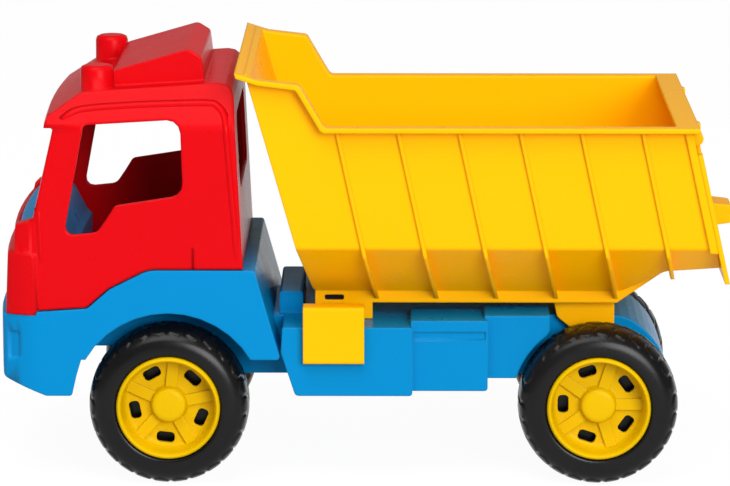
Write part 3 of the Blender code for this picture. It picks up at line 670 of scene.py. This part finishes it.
# %% Bend by rules
BEND_START = -0.204
BEND_DEPTH = 0.012
BEND_SLICES = 8
BEND_BAND = (0.050, 0.088)
FRONT = CAD_BOX[0][0]
TAIL_X = 0.141
TAIL_Z = 0.054
TAIL_RADIUS = 0.046
TAIL_SKIN = 0.0006
TAIL_GROWTH = 0.0035
TAIL_BAND = (5, 30)


def turned_in(point):
    share = min(1.0, max(0.0, (BEND_START - point.x) / (BEND_START - FRONT)))
    shift = BEND_DEPTH * share * share * soft_step(abs(point.y), *BEND_BAND)
    return Vector((point.x, point.y - math.copysign(shift, point.y), point.z))


def rounder_tail(point):
    x, z = point.x - TAIL_X, point.z - TAIL_Z
    reach = math.hypot(x, z)
    if x < 0 or abs(reach - TAIL_RADIUS) > TAIL_SKIN:
        return point
    growth = TAIL_GROWTH * soft_step(math.degrees(math.atan2(x, z)), *TAIL_BAND)
    scale = 1 + growth / reach
    return Vector((TAIL_X + x * scale, point.y, TAIL_Z + z * scale))


def bend(shape, rules):
    for number in range(BEND_SLICES):
        x = BEND_START + (FRONT - BEND_START) * number / BEND_SLICES
        whole = shape.verts[:] + shape.edges[:] + shape.faces[:]
        bmesh.ops.bisect_plane(shape, geom=whole, dist=WELD, plane_co=(x, 0, 0), plane_no=(1, 0, 0))
    for point in shape.verts:
        for rule in rules:
            point.co = rule(point.co)


print("front corners turn in by up to", BEND_DEPTH * PER_METRE, "mm")

# %% [markdown]
# ## Clean shells
# A solid comes in as loose triangles, many of them slivers that catch the light badly. A copy of
# each large shell is welded, and its flat walls are merged and cut into better triangles before it
# is bent. The red edge is lifted a little more off the blue one, which draws the dark seam. Broad
# walls stay flat shaded, and roundings are smooth.

# %% Mould the shells
SEAM_REACH = 0.0005
SEAM_LIFT = 0.0004
FACING_UP = 0.2
ACROSS = 0.5
BROAD_WALL = 1.2e-4
SAME_WALL = math.radians(0.2)
SHELL_CREASE = 40


def shell_tree(mesh):
    shape = bmesh.new()
    shape.from_mesh(mesh)
    found = BVHTree.FromBMesh(shape)
    shape.free()
    return found


def open_seam(shape, below):
    """Lift the lower edge of a shell a little more off the piece that it stands on."""
    for point in shape.verts:
        _, out, _, gap = below.find_nearest(point.co)
        if gap > SEAM_REACH or out.z < FACING_UP:
            continue
        walls = [face.normal.copy() for face in point.link_faces if abs(face.normal.dot(out)) < ACROSS]
        for wall in walls:
            out = out - wall * out.dot(wall)
        point.co += out * SEAM_LIFT


def plane_of(face):
    return (*[round(value, 2) for value in face.normal], round(face.center.dot(face.normal), 4))


def shade_roundings(mesh):
    areas = {}
    for face in mesh.polygons:
        areas[plane_of(face)] = areas.get(plane_of(face), 0.0) + face.area
    smooth_faces(mesh, SHELL_CREASE)
    for face in mesh.polygons:
        face.use_smooth = face.center.x < BEND_START or areas[plane_of(face)] < BROAD_WALL


def moulded(node, finish, body, rules=(), stands_on=None):
    shape = bmesh.new()
    shape.from_mesh(NODES[node].data)
    bmesh.ops.remove_doubles(shape, verts=shape.verts, dist=WELD)
    bmesh.ops.dissolve_limit(shape, angle_limit=SAME_WALL, verts=shape.verts, edges=shape.edges)
    bmesh.ops.triangulate(shape, faces=shape.faces, ngon_method="BEAUTY")
    if stands_on:
        open_seam(shape, shell_tree(NODES[stands_on].data))
    if rules:
        bend(shape, rules)
    closed = all(edge.is_manifold for edge in shape.edges)
    mesh = mesh_from(shape, f"moulded_{node}")
    shade_roundings(mesh)
    mesh.materials.append(finish)
    made = new_object(mesh.name, mesh)
    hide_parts(node)
    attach(made, body)
    print(made.name, "has", len(mesh.polygons), "faces, closed:", closed)
    return made


RED_CAB = moulded("cab_shell", RED, "chassis", (turned_in,), "chassis")
moulded("chassis", BLUE, "chassis", (turned_in, rounder_tail))
moulded("tub", YELLOW, "tub")
moulded("tailgate", YELLOW, "tailgate")

# %% [markdown]
# ## Ridges on the cab
# A soft ridge runs along the cab's side under the roof and turns down the rear corner, and a short
# upright one edges the lamp block. Both follow the moulded wall: the line is drawn as a side view
# and dropped on to the shell by a ray, then a low rounded section is swept along it. The ends sink
# into the wall, so the ridge seems to grow out of the moulding.

# %% Sweep the ridges
CAB = shell_tree(RED_CAB.data)
RAY_START = 0.2
OUTER_WALL = 0.06
HALF_STEPS = 6
FADE_STEPS = 4
LINE_STEPS = 6
SUNK = 0.5
ROOT = 0.0012
RIDGE_CREASE = 60


def laid(points, side):
    found = []
    for x, z in points:
        start = Vector((x / PER_METRE, side * RAY_START, z / PER_METRE))
        hit = CAB.ray_cast(start, Vector((0, -side, 0)))[0]
        if hit is not None and abs(hit.y) > OUTER_WALL:
            found.append(hit)
    return found


def ridge(name, line, side, half_width, proud):
    out = Vector((0, side, 0))
    last = len(line) - 1
    shape = bmesh.new()
    rows = []
    for number, point in enumerate(line):
        ahead = line[min(number + 1, last)] - line[max(number - 1, 0)]
        across = ahead.cross(out).normalized()
        reach = min(1.0, min(number, last - number) / FADE_STEPS)
        row = []
        for step in range(-HALF_STEPS, HALF_STEPS + 1):
            share = step / HALF_STEPS
            height = (proud + SUNK) * (1 - share * share) ** 2 * reach - SUNK
            place = point + across * (share * half_width / PER_METRE) + out * (height / PER_METRE)
            row.append(shape.verts.new(place))
        for turn in (1, -1):
            place = point + across * (turn * half_width / 2 / PER_METRE) - out * ROOT
            row.append(shape.verts.new(place))
        rows.append(row)
    skin_rows(shape, rows)
    shape.faces.new(rows[0])
    shape.faces.new(rows[-1])
    mesh = mesh_from(shape, name)
    closed_outwards(mesh)
    smooth_faces(mesh, RIDGE_CREASE)
    mesh.materials.append(RED)
    made = new_object(name, mesh)
    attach(made, "chassis")
    print(name, "has", len(mesh.vertices), "points")


ROOF_LINE = [
    (-188, 229.5), (-178, 235.5), (-150, 238), (-120, 239.2), (-98, 239.4), (-92.5, 237.5), (-88.5, 232),
    (-87, 221), (-84.5, 190), (-82.3, 165), (-80.8, 139),
]
LAMP_LINE = [(-203.5, 176), (-203, 164), (-202.5, 152), (-201.5, 138)]
ROOF_RIDGE = smooth_curve(ROOF_LINE, LINE_STEPS)
LAMP_RIDGE = smooth_curve(LAMP_LINE, LINE_STEPS)
for hand, side in SIDES:
    ridge(f"roof_ridge_{hand}", laid(ROOF_RIDGE, side), side, half_width=3.0, proud=1.1)
    ridge(f"lamp_ridge_{hand}", laid(LAMP_RIDGE, side), side, half_width=2.4, proud=0.8)

# %% [markdown]
# ## Floor
# The toy stands on a plain white sweep. Where the camera looks straight at the floor it is nearly
# all white, with a trace of the shadow kept. For all other light it is pale paper.

# %% White sweep
WHITE = (1, 1, 1, 1)
PAPER = (0.65, 0.65, 0.65, 1)
WHITE_SHARE = 0.9
FLOOR_SIZE = 6.0


def sweep_material():
    made, wire = start_material("white_sweep")
    camera_ray = wire.add("ShaderNodeLightPath", {}, {}, "Is Camera Ray")
    glossy_ray = wire.add("ShaderNodeLightPath", {}, {}, "Is Glossy Ray")
    clear_ray = wire.add("ShaderNodeLightPath", {}, {}, "Is Transmission Ray")
    seen = wire.maths("MAXIMUM", wire.maths("MAXIMUM", camera_ray, glossy_ray), clear_ray)
    paper = wire.add("ShaderNodeBsdfDiffuse", {}, {"Color": PAPER})
    white = wire.add("ShaderNodeEmission", {}, {"Color": WHITE, "Strength": 1.06})
    mixed = wire.add("ShaderNodeMixShader", {}, {0: seen * WHITE_SHARE, 1: paper, 2: white})
    return end_material(made, mixed)


shape = bmesh.new()
bmesh.ops.create_grid(shape, x_segments=1, y_segments=1, size=FLOOR_SIZE)
floor = new_object("sweep", mesh_from(shape, "sweep"))
floor.data.materials.append(sweep_material())
print("floor:", floor.name)

# %% [markdown]
# ## Light
# A wide soft box beside the camera lights the near side, a weaker one above reaches into the tub and
# touches the tops, and a white room fills the rest. The room's own light is faint, but where the
# camera looks past the floor it shows plain white.

# %% Room and soft boxes
LIGHT_AIM = Vector((0, 0, 0.12))

room = bpy.data.worlds.new("white_room")
bpy.context.scene.world = room
room.use_nodes = True
room.node_tree.nodes.remove(room.node_tree.nodes["Background"])
wire = Wire(room.node_tree)
fill = wire.add("ShaderNodeBackground", {}, {"Color": WHITE, "Strength": 0.3})
backdrop = wire.add("ShaderNodeBackground", {}, {"Color": WHITE, "Strength": 1.0})
looked_at = wire.add("ShaderNodeLightPath", {}, {}, "Is Camera Ray")
around = wire.add("ShaderNodeMixShader", {}, {0: looked_at, 1: fill, 2: backdrop})
room.node_tree.links.new(around.socket, room.node_tree.nodes["World Output"].inputs["Surface"])


def soft_box(name, place, size, power):
    lamp = bpy.data.lights.new(name, "AREA")
    lamp.shape = "SQUARE"
    lamp.size = size
    lamp.energy = power
    made = new_object(name, lamp)
    made.location = place
    made.rotation_euler = (LIGHT_AIM - Vector(place)).to_track_quat("-Z", "Y").to_euler()
    print(name, "gives", power, "watts")


soft_box("key_box", (1.8, -4.5, 1.8), size=2.4, power=206.0)
soft_box("top_box", (-0.3, -1.1, 2.1), size=1.6, power=34.0)

# %% [markdown]
# ## Camera
# The camera stands far off with a long lens, eleven degrees above level, as the flat look of the
# portrait asks. The Standard view keeps the plastic's colours as they were mixed.

# %% Long lens
CAMERA_PLACE = (0.01936, -2.5739, 0.63713)
CAMERA_TILT = 79.0
CAMERA_TURN = 0.4807

camera = new_object("camera", bpy.data.cameras.new("camera"))
camera.location = CAMERA_PLACE
camera.rotation_euler = (math.radians(CAMERA_TILT), 0.0, math.radians(CAMERA_TURN))
camera.data.lens = 201.95
camera.data.sensor_width = 36.0
camera.data.clip_end = 20.0
bpy.context.scene.camera = camera
bpy.context.scene.view_settings.view_transform = "Standard"
print("camera at", [round(v, 3) for v in camera.location])
